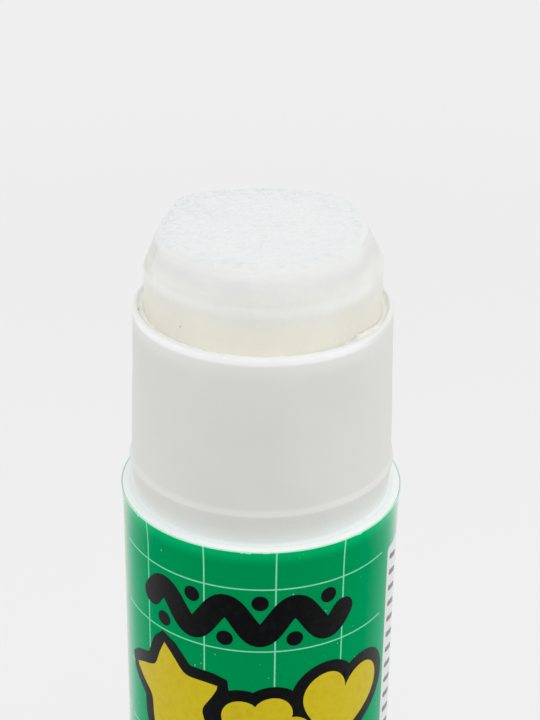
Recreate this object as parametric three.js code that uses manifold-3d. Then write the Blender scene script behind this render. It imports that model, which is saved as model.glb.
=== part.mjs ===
// A twist-up glue stick, wound out a little, with its cap standing beside it.
// Millimetres, +Z up. The origin is the middle of the knob's flat base, on the stick's axis.
import * as THREE from 'three';
import { mergeVertices, toCreasedNormals } from 'three/addons/utils/BufferGeometryUtils.js';
import Module from 'manifold-3d';

const wasm = await Module();
wasm.setup();

// Outer sleeve and its printed film
const BODY_R = 15; // outside of the film, which is the width of the stick
const FILM_WALL = 0.12;
const FILM_GAP = 0.03; // the film lies on the sleeve
const SLEEVE_WALL = 0.95;
const FLARE = 0.2; // how far the sleeve's upper end spreads
const FLARE_HEIGHT = 1.8;
const SHOULDER_Z = 88; // upper end of the sleeve
const FILM_HEM = 0.7; // bare sleeve below the film
const FILM_RIM = 0.12; // bare sleeve above the film

// Inner tube with its neck
const WALL_GAP = 0.3; // between the two walls
const TUBE_WALL = 1.2;
const NECK_HEIGHT = 21; // from the sleeve's end to the lip
const NECK_SWELL = 0.36; // how far the neck's foot stands out from the tube
const NECK_DRAFT = 0.46; // how much narrower the neck is at its top
const BEAD_HEIGHT = 4; // crest of the snap bead above the sleeve's end
const BEAD_RISE = 1.1; // from the bead's foot up to its crest
const BEAD_FALL = 0.5; // from its crest up to the neck
const BEAD_PROUD = 0.21;
const LIP_ROUND = 0.5;
const LIP_CHAMFER = 0.35;
const KEYWAY_DEPTH = 0.5;
const KEYWAY_WIDTH = 3;
const KEYWAY_COUNT = 4;

// Glue
const GLUE_GAP = 0.1; // the glue is cast in the tube and slides in it
const GLUE_PROUD = 8.9; // above the lip as it stands
const GLUE_WORN_HEIGHT = 3.9; // height of the rounded, rubbed edge
const GLUE_WORN_WIDTH = 2.1; // its width, from the side to the top face
const GLUE_CROWN = 0.25; // rise of the top face towards its middle
const GLUE_BORE_GAP = 0.7; // round the spindle
const GLUE_BORE_SPARE = 1.5; // above the spindle's tip when the glue is wound down

// Screw and travel
const LEAD = 6; // rise in one turn of the left-handed thread
const TURNS_DOWN = 2; // turns left downwards as the glue stands
const TURNS_UP = 9.5; // turns left upwards
const THREAD_CREST_R = 3.6;
const THREAD_DEPTH = 1;
const THREAD_CREST = 0.25; // share of the lead that the crest takes
const THREAD_FLANK = 0.17; // share that each flank takes
const THREAD_GAP = 0.3;
const TIP_SUNK = 15; // spindle's tip below the lip
const TIP_TAPER = 1.6;
const TIP_R = 1.8;
const SPINDLE_FLANGE_R = 4.8;
const SPINDLE_FLANGE = 1.2;
const SHANK_R = 2.8; // corner radius of the hexagonal shank

// Carrier cup
const CUP_GAP = 0.25; // cup to tube
const CUP_WALL = 0.8;
const CUP_DEPTH = 7;
const FLOOR_THICK = 1.4;
const SKIRT_DEPTH = 7.6; // below the cup's floor
const HUB_R = 6.2;
const HUB_DROP = 2; // how far the hub reaches below the skirt
const KEY_GAP = 0.3;
const CUP_END_GAP = 1; // skirt to collar when wound down
const FIN_COUNT = 6;
const FIN_THICK = 0.8;
const FIN_REACH = 2.4;
const FIN_HEIGHT = 5;
const WEB_COUNT = 4;
const WEB_THICK = 0.9;

// Knob and base collar
const DIAL_HEIGHT = 9.7;
const DIAL_INSET = 0.3; // how much the knob stands in from the film
const DIAL_WALL = 1.3;
const DIAL_FLOOR = 1.5;
const DIAL_BEVEL = 0.6;
const RIB_COUNT = 40;
const RIB_DEPTH = 0.45;
const RIB_LAND = 0.32; // share of the pitch that a rib's flat top takes
const RIB_VALLEY = 0.28; // share that the valley takes
const RIB_MARGIN = 1; // plain band above and below the ribs
const BASE_RING_R = 10.4; // shallow ring pressed into the underside
const BASE_RING_WIDTH = 1.2;
const BASE_RING_DEPTH = 0.4;
const SNAP_R = 8.6; // outside of the snap fingers
const SNAP_WALL = 1.3;
const SNAP_HOOK = 1;
const SNAP_HOOK_HEIGHT = 2.1;
const SNAP_SLOTS = 4;
const SNAP_SLOT_WIDTH = 1.6;
const BOSS_WALL = 2.2;
const BOSS_SUNK = 2.5; // boss top below the tips of the snap fingers
const RUNNING_GAP = 0.3; // between pieces that turn on each other
const SEAT_GAP = 0.3; // between pieces that are pressed together
const COLLAR_FLANGE = 1.4;
const COLLAR_FLOOR = 2.2;
const COLLAR_SPIGOT = 5.6;
const COLLAR_WALL = 1.2;

// Cap
const CAP_APART = 10; // between the stick and the cap beside it
const CAP_HEADROOM = 1.6; // above the lip when the cap is on
const CAP_TOP = 1.3;
const CAP_MOUTH_GAP = 0.22; // over the neck's foot
const CAP_DRAFT = 0.4; // how much narrower the cap is at its top
const CAP_ROUND = 1.8;
const CAP_SEAL_DEPTH = 2.6; // ring inside the top that enters the lip
const CAP_SEAL_WALL = 0.8;
const CAP_SEAL_GAP = 0.2;
const CAP_CATCH = 0.14; // snap ridge inside the mouth
const CAP_CATCH_WIDTH = 1.2;

// Facets round a full circle
const SHELL_STEPS = 64;
const CORE_STEPS = 48;
const THREAD_STEPS = 12; // points in a turn and layers in a lead
const ARC_STEPS = 4;

// Radii that follow
const sleeveR = BODY_R - FILM_WALL - FILM_GAP;
const sleeveBore = sleeveR - SLEEVE_WALL;
const tubeR = sleeveBore - WALL_GAP;
const tubeBore = tubeR - TUBE_WALL;
const neckFootR = tubeR + NECK_SWELL;
const neckTopR = neckFootR - NECK_DRAFT;
const glueR = tubeBore - GLUE_GAP;
const cupR = tubeBore - CUP_GAP;
const cupBore = cupR - CUP_WALL;
const keyR = tubeBore + KEYWAY_DEPTH - KEY_GAP;
const collarSpigotR = tubeBore - SEAT_GAP;
const collarHoleR = SNAP_R + RUNNING_GAP;
const dialR = BODY_R - DIAL_INSET;

// Heights that follow
const lipZ = SHOULDER_Z + NECK_HEIGHT;
const collarZ = DIAL_HEIGHT + RUNNING_GAP;
const wallFootZ = collarZ + COLLAR_FLANGE + SEAT_GAP;
const collarTopZ = collarZ + COLLAR_FLANGE + COLLAR_SPIGOT;
const skirtZ = collarTopZ + CUP_END_GAP + TURNS_DOWN * LEAD;
const cupFloorZ = skirtZ + SKIRT_DEPTH + FLOOR_THICK;
const cupRimZ = cupFloorZ + CUP_DEPTH;
const hubZ = skirtZ - HUB_DROP;
const tipZ = lipZ - TIP_SUNK;
const snapZ = collarZ + COLLAR_FLOOR + RUNNING_GAP;
const snapTopZ = snapZ + SNAP_HOOK_HEIGHT;
const bossTopZ = snapTopZ - BOSS_SUNK;
const glueBoreTopZ = tipZ + TURNS_DOWN * LEAD + GLUE_BORE_SPARE;
const glueTopZ = lipZ + GLUE_PROUD;
const keywayTopZ = cupRimZ + TURNS_UP * LEAD + CUP_END_GAP;

/** A three.js geometry as a closed solid, with its shared corners merged. */
function solidOf(geometry) {
  const bare = geometry.clone();
  bare.deleteAttribute('normal');
  bare.deleteAttribute('uv');
  const merged = mergeVertices(bare, 1e-5);
  const triVerts = new Uint32Array(merged.index.array);
  const vertProperties = new Float32Array(merged.attributes.position.array);
  return new wasm.Manifold(new wasm.Mesh({ numProp: 3, vertProperties, triVerts }));
}

/** A solid as a three.js geometry whose round faces are shaded smooth. */
function geometryOf(solid) {
  const mesh = solid.getMesh();
  const geometry = new THREE.BufferGeometry();
  geometry.setAttribute('position', new THREE.BufferAttribute(new Float32Array(mesh.vertProperties), 3));
  geometry.setIndex(new THREE.BufferAttribute(new Uint32Array(mesh.triVerts), 1));
  const smoothAngle = Math.PI / 5;
  return toCreasedNormals(geometry, smoothAngle);
}

/** A closed outline of [radius, z] points, anticlockwise with r to the right, turned about Z. */
function turned(outline, steps = SHELL_STEPS) {
  const points = [...outline, outline[0]].map(([r, z]) => new THREE.Vector2(r, z));
  return solidOf(new THREE.LatheGeometry(points, steps).rotateX(Math.PI / 2));
}

/** An outline of [x, y] points drawn up from z0 to z1. */
function prism(outline, z0, z1) {
  const shape = new THREE.Shape(outline.map(([x, y]) => new THREE.Vector2(x, y)));
  const geometry = new THREE.ExtrudeGeometry(shape, { depth: z1 - z0, bevelEnabled: false });
  return solidOf(geometry.translate(0, 0, z0));
}

/** Count straight bars round the axis, each from radius r0 to r1, width wide, between two heights. */
function spokes(count, r0, r1, width, z0, z1) {
  const bars = [];
  for (let i = 0; i < count; i += 1) {
    const bar = new THREE.BoxGeometry(r1 - r0, width, z1 - z0);
    bar.translate((r0 + r1) / 2, 0, (z0 + z1) / 2);
    bars.push(solidOf(bar.rotateZ((2 * Math.PI * i) / count)));
  }
  return bars.reduce((all, bar) => all.add(bar));
}

/** Points of a quarter or other arc in the r-z plane, about [r, z], between two angles in degrees. */
function arc(r, z, radius, from, to) {
  const points = [];
  for (let i = 0; i <= ARC_STEPS; i += 1) {
    const angle = THREE.MathUtils.degToRad(from + ((to - from) * i) / ARC_STEPS);
    points.push([r + radius * Math.cos(angle), z + radius * Math.sin(angle)]);
  }
  return points;
}

/** Depth of the thread under its crest, as a share, at a place given in leads from the crest's middle. */
function threadDepth(place) {
  const away = Math.abs(place - Math.round(place));
  return THREE.MathUtils.clamp((away - THREAD_CREST / 2) / THREAD_FLANK, 0, 1);
}

/** A left-handed screw thread between two heights, grown outwards by a gap. */
function thread(z0, z1, gap) {
  const layerHeight = LEAD / THREAD_STEPS;
  const first = Math.floor(z0 / layerHeight);
  const last = Math.ceil(z1 / layerHeight);
  const crest = THREAD_CREST_R + gap;
  const positions = [];
  for (let layer = first; layer <= last; layer += 1) {
    for (let k = 0; k < THREAD_STEPS; k += 1) {
      const radius = crest - THREAD_DEPTH * threadDepth((k + layer) / THREAD_STEPS);
      const angle = (2 * Math.PI * k) / THREAD_STEPS;
      positions.push(radius * Math.cos(angle), radius * Math.sin(angle), layer * layerHeight);
    }
  }
  const rows = last - first;
  const bottom = positions.length / 3;
  positions.push(0, 0, first * layerHeight, 0, 0, last * layerHeight);
  const faces = [];
  for (let k = 0; k < THREAD_STEPS; k += 1) {
    const next = (k + 1) % THREAD_STEPS;
    for (let row = 0; row < rows; row += 1) {
      const low = row * THREAD_STEPS;
      const high = low + THREAD_STEPS;
      faces.push(low + k, low + next, high + k, low + next, high + next, high + k);
    }
    faces.push(bottom, next, k);
    faces.push(bottom + 1, rows * THREAD_STEPS + k, rows * THREAD_STEPS + next);
  }
  const geometry = new THREE.BufferGeometry();
  geometry.setAttribute('position', new THREE.Float32BufferAttribute(positions, 3));
  geometry.setIndex(faces);
  const envelope = turned([[0, z0], [crest * 2, z0], [crest * 2, z1], [0, z1]], CORE_STEPS);
  return solidOf(geometry).intersect(envelope);
}

/** The second wall, whose spread upper end is the shoulder. */
function makeOuterSleeve() {
  return turned([
    [sleeveBore, wallFootZ],
    [sleeveR, wallFootZ],
    [sleeveR, SHOULDER_Z - FLARE_HEIGHT],
    [sleeveR + FLARE, SHOULDER_Z],
    [sleeveBore, SHOULDER_Z],
  ]);
}

/** The thin printed film round the sleeve, which follows its flare. */
function makeLabelFilm() {
  const inside = sleeveR + FILM_GAP;
  const slopeAtRim = FLARE * (1 - FILM_RIM / FLARE_HEIGHT);
  return turned([
    [inside, wallFootZ + FILM_HEM],
    [BODY_R, wallFootZ + FILM_HEM],
    [BODY_R, SHOULDER_Z - FLARE_HEIGHT],
    [BODY_R + slopeAtRim, SHOULDER_Z - FILM_RIM],
    [inside + slopeAtRim, SHOULDER_Z - FILM_RIM],
    [inside, SHOULDER_Z - FLARE_HEIGHT],
  ]);
}

/** The tube that holds the glue, with its neck, snap bead, lip and inner keyways. */
function makeInnerTube() {
  const beadZ = SHOULDER_Z + BEAD_HEIGHT;
  const shell = turned([
    [tubeBore, wallFootZ],
    [tubeR, wallFootZ],
    [tubeR, beadZ - BEAD_RISE],
    [neckFootR + BEAD_PROUD, beadZ],
    [neckFootR, beadZ + BEAD_FALL],
    ...arc(neckTopR - LIP_ROUND, lipZ - LIP_ROUND, LIP_ROUND, 0, 90),
    [tubeBore + LIP_CHAMFER, lipZ],
    [tubeBore, lipZ - LIP_CHAMFER],
  ]);
  const keyways = spokes(
    KEYWAY_COUNT, tubeBore / 2, tubeBore + KEYWAY_DEPTH, KEYWAY_WIDTH, 0, keywayTopZ,
  );
  return shell.subtract(keyways);
}

/** The cup that holds the glue's foot, with its threaded hub, skirt, webs and keys. */
function makeCarrierCup() {
  const floorZ = cupFloorZ - FLOOR_THICK;
  const body = turned([
    [0, hubZ],
    [HUB_R, hubZ],
    [HUB_R, floorZ],
    [cupBore, floorZ],
    [cupBore, skirtZ],
    [cupR, skirtZ],
    [cupR, cupRimZ],
    [cupBore, cupRimZ],
    [cupBore, cupFloorZ],
    [0, cupFloorZ],
  ]);
  const sunk = CUP_WALL / 2;
  const webs = spokes(WEB_COUNT, HUB_R - sunk, cupBore + sunk, WEB_THICK, skirtZ, floorZ + sunk);
  const keys = spokes(KEYWAY_COUNT, cupR - sunk, keyR, KEYWAY_WIDTH - 2 * KEY_GAP, skirtZ, cupRimZ);
  const nutThread = thread(hubZ - LEAD, cupFloorZ + LEAD, THREAD_GAP);
  return body.add(webs).add(keys).add(cupFins(0)).subtract(nutThread);
}

/** The fins inside the cup that hold the glue's foot, grown all round by a gap. */
function cupFins(gap) {
  const sunk = CUP_WALL / 2;
  return spokes(
    FIN_COUNT, cupBore - FIN_REACH - gap, cupBore + sunk, FIN_THICK + 2 * gap,
    cupFloorZ - sunk, cupFloorZ + FIN_HEIGHT + gap,
  );
}

/** The glue, cast round the cup's fins, with a blind bore for the spindle and a worn top. */
function makeGlueBlock() {
  const footR = cupBore - SEAT_GAP;
  const boreR = THREAD_CREST_R + GLUE_BORE_GAP;
  const wornZ = glueTopZ - GLUE_WORN_HEIGHT;
  const topR = glueR - GLUE_WORN_WIDTH;
  const wornEdge = [];
  for (let i = 0; i <= ARC_STEPS; i += 1) {
    const angle = (Math.PI / 2) * (i / ARC_STEPS);
    const across = topR + GLUE_WORN_WIDTH * Math.cos(angle);
    wornEdge.push([across, wornZ + (GLUE_WORN_HEIGHT - GLUE_CROWN) * Math.sin(angle)]);
  }
  const block = turned([
    [boreR, cupFloorZ + SEAT_GAP],
    [footR, cupFloorZ + SEAT_GAP],
    [footR, cupRimZ + SEAT_GAP],
    [glueR, cupRimZ + SEAT_GAP],
    ...wornEdge,
    [topR / 2, glueTopZ - GLUE_CROWN / 4],
    [0, glueTopZ],
    [0, glueBoreTopZ],
    [boreR - TIP_TAPER, glueBoreTopZ],
    [boreR, glueBoreTopZ - TIP_TAPER],
  ]);
  return block.subtract(cupFins(SEAT_GAP));
}

/** The lifting screw: hexagonal shank, flange and thread with a tapered tip. */
function makeScrewSpindle() {
  const flangeZ = bossTopZ + SEAT_GAP;
  const flangeTopZ = flangeZ + SPINDLE_FLANGE;
  const screw = thread(flangeTopZ - SPINDLE_FLANGE / 2, tipZ, 0);
  const taper = turned([
    [0, flangeZ],
    [THREAD_CREST_R * 2, flangeZ],
    [THREAD_CREST_R * 2, tipZ - TIP_TAPER],
    [THREAD_CREST_R, tipZ - TIP_TAPER],
    [TIP_R, tipZ],
    [0, tipZ],
  ], CORE_STEPS);
  const flange = turned([
    [0, flangeZ],
    [SPINDLE_FLANGE_R, flangeZ],
    [SPINDLE_FLANGE_R, flangeTopZ],
    [0, flangeTopZ],
  ], CORE_STEPS);
  const shank = prism(hexagon(SHANK_R), DIAL_FLOOR + SEAT_GAP, flangeZ + SPINDLE_FLANGE / 2);
  return screw.intersect(taper).add(flange).add(shank);
}

/** The corners of a hexagon with this corner radius. */
function hexagon(radius) {
  return Array.from({ length: 6 }, (_, i) => {
    const angle = (Math.PI * i) / 3;
    return [radius * Math.cos(angle), radius * Math.sin(angle)];
  });
}

/** The ribbed knob, with its socket for the spindle and its ring of snap fingers. */
function makeDialKnob() {
  const rootR = dialR - RIB_DEPTH;
  const wallR = rootR - DIAL_WALL;
  const snapBore = SNAP_R - SNAP_WALL;
  const bossR = SHANK_R + BOSS_WALL;
  const cup = turned([
    [0, 0],
    [BASE_RING_R - BASE_RING_WIDTH / 2, 0],
    [BASE_RING_R - BASE_RING_WIDTH / 2, BASE_RING_DEPTH],
    [BASE_RING_R + BASE_RING_WIDTH / 2, BASE_RING_DEPTH],
    [BASE_RING_R + BASE_RING_WIDTH / 2, 0],
    [rootR - DIAL_BEVEL, 0],
    [rootR, DIAL_BEVEL],
    [rootR, DIAL_HEIGHT - DIAL_BEVEL / 2],
    [rootR - DIAL_BEVEL / 2, DIAL_HEIGHT],
    [wallR, DIAL_HEIGHT],
    [wallR, DIAL_FLOOR],
    [SNAP_R, DIAL_FLOOR],
    [SNAP_R, snapZ],
    [SNAP_R + SNAP_HOOK, snapZ],
    [SNAP_R + SNAP_HOOK, snapZ + SNAP_HOOK_HEIGHT / 3],
    [SNAP_R - SNAP_WALL / 3, snapTopZ],
    [snapBore, snapTopZ],
    [snapBore, DIAL_FLOOR],
    [bossR, DIAL_FLOOR],
    [bossR, bossTopZ],
    [0, bossTopZ],
  ], CORE_STEPS);
  const ribs = prism(ribbedRing(rootR), RIB_MARGIN, DIAL_HEIGHT - RIB_MARGIN);
  const ribEnds = turned([
    [wallR + DIAL_WALL / 2, 0],
    [rootR, RIB_MARGIN],
    [dialR, RIB_MARGIN + RIB_DEPTH],
    [dialR, DIAL_HEIGHT - RIB_MARGIN - RIB_DEPTH],
    [rootR, DIAL_HEIGHT - RIB_MARGIN],
    [wallR + DIAL_WALL / 2, DIAL_HEIGHT],
  ]);
  const slots = spokes(
    SNAP_SLOTS, snapBore - SNAP_WALL / 2, SNAP_R + 2 * SNAP_HOOK, SNAP_SLOT_WIDTH,
    DIAL_HEIGHT / 2, snapTopZ + SNAP_HOOK,
  );
  const socket = prism(hexagon(SHANK_R + SEAT_GAP), DIAL_FLOOR, bossTopZ + SEAT_GAP);
  return cup.add(ribs.intersect(ribEnds)).subtract(slots).subtract(socket);
}

/** The knob's outline: flat-topped ribs with sloping flanks round a circle of radius rootR. */
function ribbedRing(rootR) {
  const pitch = (2 * Math.PI) / RIB_COUNT;
  const corners = [
    [-1 + RIB_VALLEY, 0],
    [-RIB_LAND, RIB_DEPTH],
    [RIB_LAND, RIB_DEPTH],
    [1 - RIB_VALLEY, 0],
  ];
  const outline = [];
  for (let i = 0; i < RIB_COUNT; i += 1) {
    for (const [share, proud] of corners) {
      const angle = (i + share / 2) * pitch;
      outline.push([(rootR + proud) * Math.cos(angle), (rootR + proud) * Math.sin(angle)]);
    }
  }
  return outline;
}

/** The ring that closes the foot of both walls and carries the knob's snap fingers. */
function makeBaseCollar() {
  const flangeTopZ = collarZ + COLLAR_FLANGE;
  return turned([
    [collarHoleR, collarZ],
    [sleeveR, collarZ],
    [sleeveR, flangeTopZ],
    [collarSpigotR, flangeTopZ],
    [collarSpigotR, collarTopZ],
    [collarSpigotR - COLLAR_WALL, collarTopZ],
    [collarSpigotR - COLLAR_WALL, collarZ + COLLAR_FLOOR],
    [collarHoleR, collarZ + COLLAR_FLOOR],
  ], CORE_STEPS);
}

/** The cap as it stands on its mouth, with its catch ridge, bead groove and sealing ring. */
function makeCap() {
  const mouthR = neckFootR + CAP_MOUTH_GAP;
  const deepR = mouthR - CAP_DRAFT;
  const roofZ = NECK_HEIGHT + CAP_HEADROOM;
  const topZ = roofZ + CAP_TOP;
  const topR = BODY_R - CAP_DRAFT;
  const grooveR = mouthR + BEAD_PROUD;
  const catchZ = BEAD_HEIGHT - BEAD_RISE - BEAD_FALL;
  const catchR = mouthR - CAP_CATCH;
  const sealR = tubeBore - CAP_SEAL_GAP;
  return turned([
    [mouthR, 0],
    [BODY_R, 0],
    ...arc(topR - CAP_ROUND, topZ - CAP_ROUND, CAP_ROUND, 0, 90),
    [0, topZ],
    [0, roofZ],
    [sealR - CAP_SEAL_WALL, roofZ],
    [sealR - CAP_SEAL_WALL, roofZ - CAP_SEAL_DEPTH],
    [sealR, roofZ - CAP_SEAL_DEPTH],
    [sealR, roofZ],
    [deepR, roofZ],
    [mouthR, BEAD_HEIGHT + BEAD_RISE],
    [grooveR, BEAD_HEIGHT],
    [catchR, catchZ],
    [mouthR, catchZ - CAP_CATCH_WIDTH],
  ]);
}

const whitePlastic = new THREE.MeshStandardMaterial({ color: 0xf1f0ec, roughness: 0.5, metalness: 0 });
const sleevePlastic = new THREE.MeshStandardMaterial({ color: 0xdfeae2, roughness: 0.4, metalness: 0 });
const greenFilm = new THREE.MeshStandardMaterial({ color: 0x00a562, roughness: 0.35, metalness: 0 });
const glueWhite = new THREE.MeshStandardMaterial({ color: 0xf3f3f0, roughness: 0.6, metalness: 0 });

const glueStick = new THREE.Group();

/** Adds one named piece to a group. */
function addPiece(group, name, solid, material) {
  const mesh = new THREE.Mesh(geometryOf(solid), material);
  mesh.name = name;
  group.add(mesh);
}

addPiece(glueStick, 'outer_sleeve', makeOuterSleeve(), sleevePlastic);
addPiece(glueStick, 'label_film', makeLabelFilm(), greenFilm);
addPiece(glueStick, 'inner_tube', makeInnerTube(), whitePlastic);
addPiece(glueStick, 'base_collar', makeBaseCollar(), whitePlastic);
addPiece(glueStick, 'dial_knob', makeDialKnob(), whitePlastic);
addPiece(glueStick, 'screw_spindle', makeScrewSpindle(), whitePlastic);
addPiece(glueStick, 'carrier_cup', makeCarrierCup(), whitePlastic);
addPiece(glueStick, 'glue_block', makeGlueBlock(), glueWhite);

const capStand = new THREE.Group();
capStand.position.x = 2 * BODY_R + CAP_APART;
addPiece(capStand, 'cap', makeCap(), whitePlastic);
glueStick.add(capStand);

export default glueStick;
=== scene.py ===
"""Looks of a twist-up glue stick: worn glue, twin-walled barrel, printed film, knob and cap.

Sizes are millimetres in the stick's own frame, with z = 0 on the surface that it stands on. They
become metres where a mesh is made. Angles round the stick are degrees from its front, which
faces -Y, and grow towards +X.
"""

from __future__ import annotations

import sys
import cmath
import logging
import math
from dataclasses import dataclass, replace
from enum import Enum
from functools import reduce
from typing import Callable, Sequence

import bmesh
import bpy
from mathutils import Matrix, Vector, noise


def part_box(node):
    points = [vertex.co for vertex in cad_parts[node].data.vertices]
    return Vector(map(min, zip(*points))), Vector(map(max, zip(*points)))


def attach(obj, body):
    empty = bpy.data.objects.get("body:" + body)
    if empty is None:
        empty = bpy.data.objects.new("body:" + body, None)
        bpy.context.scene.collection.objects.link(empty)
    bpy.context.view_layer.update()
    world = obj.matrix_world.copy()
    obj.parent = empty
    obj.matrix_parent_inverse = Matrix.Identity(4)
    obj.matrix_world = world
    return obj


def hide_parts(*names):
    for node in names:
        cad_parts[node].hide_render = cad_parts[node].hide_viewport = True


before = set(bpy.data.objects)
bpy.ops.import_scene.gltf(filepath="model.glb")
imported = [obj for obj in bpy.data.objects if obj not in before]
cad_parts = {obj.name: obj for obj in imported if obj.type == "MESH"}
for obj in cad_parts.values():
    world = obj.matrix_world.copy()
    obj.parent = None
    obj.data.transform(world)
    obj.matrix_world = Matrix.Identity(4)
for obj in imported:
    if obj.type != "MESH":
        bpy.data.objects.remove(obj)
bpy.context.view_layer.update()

MM = 0.001
ROUND_STEPS = 384
SHARP_ANGLE = math.radians(40)
ON_AXIS = 1e-6

Point = tuple[float, float]
Corner = tuple[float, float, float]
Outline = list[Point]
Drawing = list[complex]
Colour = tuple[float, float, float, float]
Bend = Callable[[float, float, float], Point]
Object = bpy.types.Object

log = logging.getLogger("glue_stick")


def srgb(red: float, green: float, blue: float) -> Colour:
    """Turns a colour from 0-255 display values into the linear values of a shader.

    Args:
        red: red, 0 to 255.
        green: green, 0 to 255.
        blue: blue, 0 to 255.

    Returns:
        The linear colour with full alpha.
    """
    shares = [v / 255 for v in (red, green, blue)]
    linear = [v / 12.92 if v <= 0.04 else ((v + 0.055) / 1.055) ** 2.4 for v in shares]
    return (*linear, 1.0)


DIRT: Colour = srgb(88, 92, 84)


def smooth(value: float, low: float, high: float) -> float:
    """Eases from 0 at low to 1 at high.

    Args:
        value: the value to place.
        low: where the result leaves 0.
        high: where the result reaches 1; it may lie below low.

    Returns:
        The eased share.
    """
    share = min(max((value - low) / (high - low), 0.0), 1.0)
    return share * share * (3 - 2 * share)


def between(value: float, low: float, high: float, ease: float) -> float:
    """1 well between two limits, easing to 0 at each of them."""
    return smooth(value, low, low + ease) * smooth(value, high, high - ease)


def hill(value: float, middle: float, width: float, power: int = 2) -> float:
    """A rounded hill: 1 at its middle, and near 0 beyond its width on both sides."""
    return math.exp(-(((value - middle) / width) ** power))


def evenly(low: float, high: float, count: int) -> list[float]:
    """The ends of a stretch and the places that cut it into equal parts."""
    return [low + (high - low) * k / count for k in range(count + 1)]


def rising(low: float, high: float, step: float) -> list[float]:
    """Heights from low upwards by a step, ending just below high."""
    return [low + k * step for k in range(math.ceil((high - low) / step))]


def off_rib(azimuth: float, count: int) -> float:
    """How far an angle lies from the nearest of evenly spaced ribs or flutes: 0 on it, 1 midway."""
    pitch = 360 / count
    return abs((azimuth + pitch / 2) % pitch - pitch / 2) / (pitch / 2)


def grain(x: float, y: float, z: float) -> float:
    """Smooth noise between about -1 and 1 with features about one unit across."""
    return noise.noise(Vector((x, y, z)))


def around(azimuth: float, radius: float, z: float) -> Vector:
    """The point in metres at an angle round the stick, a radius and a height."""
    angle = math.radians(azimuth)
    return Vector((radius * math.sin(angle), -radius * math.cos(angle), z)) * MM


def top_of(node: str) -> float:
    """The height of a frame node's highest point, in millimetres."""
    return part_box(node)[1].z / MM


def foot_of(node: str) -> float:
    """The height of a frame node's lowest point, in millimetres."""
    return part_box(node)[0].z / MM


def radius_of(node: str) -> float:
    """Half of a frame node's width along Y, in millimetres."""
    low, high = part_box(node)
    return (high.y - low.y) / 2 / MM


def unit(step: complex) -> complex:
    """A step of length one in the same direction."""
    return step / abs(step)


def rounded(corners: Sequence[Corner], steps: int = 5) -> Outline:
    """Rounds the corners of a closed outline.

    Args:
        corners: each corner as its radius, its height and the radius of its rounding.
        steps: segments in each rounding.

    Returns:
        The outline with each rounded corner replaced by an arc.
    """
    spots = [complex(r, z) for r, z, _ in corners]
    outline: Drawing = []
    for i, here in enumerate(spots):
        fillet = corners[i][2]
        back, ahead = unit(spots[i - 1] - here), unit(spots[(i + 1) % len(spots)] - here)
        half = abs(cmath.phase(ahead / back)) / 2
        if fillet <= 0 or half > math.radians(89):
            outline.append(here)
            continue
        centre = here + unit(back + ahead) * fillet / math.sin(half)
        start, end = (here + way * fillet / math.tan(half) - centre for way in (back, ahead))
        turn = cmath.phase(end / start)
        outline += [centre + start * cmath.rect(1, angle) for angle in evenly(0, turn, steps)]
    return [(spot.real, spot.imag) for spot in outline]


def placed(name: str, data: bpy.types.ID) -> Object:
    """Puts an object that shows a mesh, a lamp or a camera into the scene.

    Args:
        name: the object's name.
        data: what it shows.

    Returns:
        The object.
    """
    thing = bpy.data.objects.new(name, data)
    bpy.context.scene.collection.objects.link(thing)
    return thing


def shaded(name: str, mesh: bpy.types.Mesh) -> Object:
    """Puts a mesh into the scene, smooth apart from its sharp edges.

    Args:
        name: the piece's name.
        mesh: its mesh.

    Returns:
        The piece.
    """
    mesh.shade_smooth()
    mesh.set_sharp_from_angle(angle=SHARP_ANGLE)
    mesh.update()
    return placed(name, mesh)


def new_piece(name: str, points: Sequence[Vector], faces: Sequence[Sequence[int]]) -> Object:
    """Makes a shaded mesh object.

    Args:
        name: the piece's name.
        points: its corners, in metres.
        faces: its faces, facing out.

    Returns:
        The object, linked to the scene.
    """
    mesh = bpy.data.meshes.new(name)
    mesh.from_pydata([tuple(p) for p in points], [], [tuple(f) for f in faces])
    return shaded(name, mesh)


def revolve(
    name: str,
    outline: Outline,
    steps: int = ROUND_STEPS,
    bend: Bend | None = None,
    centre_x: float = 0.0,
) -> Object:
    """Turns a closed outline round an upright axis.

    Args:
        name: the piece's name.
        outline: (radius, z) corners, anticlockwise with the radius to the right.
        steps: facets in a full turn.
        bend: gives the radius and z to use at an angle, radius and z; it shapes the piece locally.
        centre_x: where the axis stands.

    Returns:
        The closed round piece.
    """
    points: list[Vector] = []
    rings: list[list[int]] = []
    shift = Vector((centre_x * MM, 0, 0))
    for r, z in outline:
        first = len(points)
        count = 1 if r < ON_AXIS else steps
        for k in range(count):
            azimuth = 360 * k / steps - 180
            bent = bend(azimuth, r, z) if bend and count > 1 else (r, z)
            points.append(around(azimuth, *bent) + shift)
        rings.append([first + k % count for k in range(steps)])
    faces: list[list[int]] = []
    for low, high in zip(rings, rings[1:] + rings[:1]):
        if low[0] == low[1] and high[0] == high[1]:
            continue
        for k in range(steps):
            m = (k + 1) % steps
            faces.append(list(dict.fromkeys((low[k], low[m], high[m], high[k]))))
    return new_piece(name, points, faces)


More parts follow.
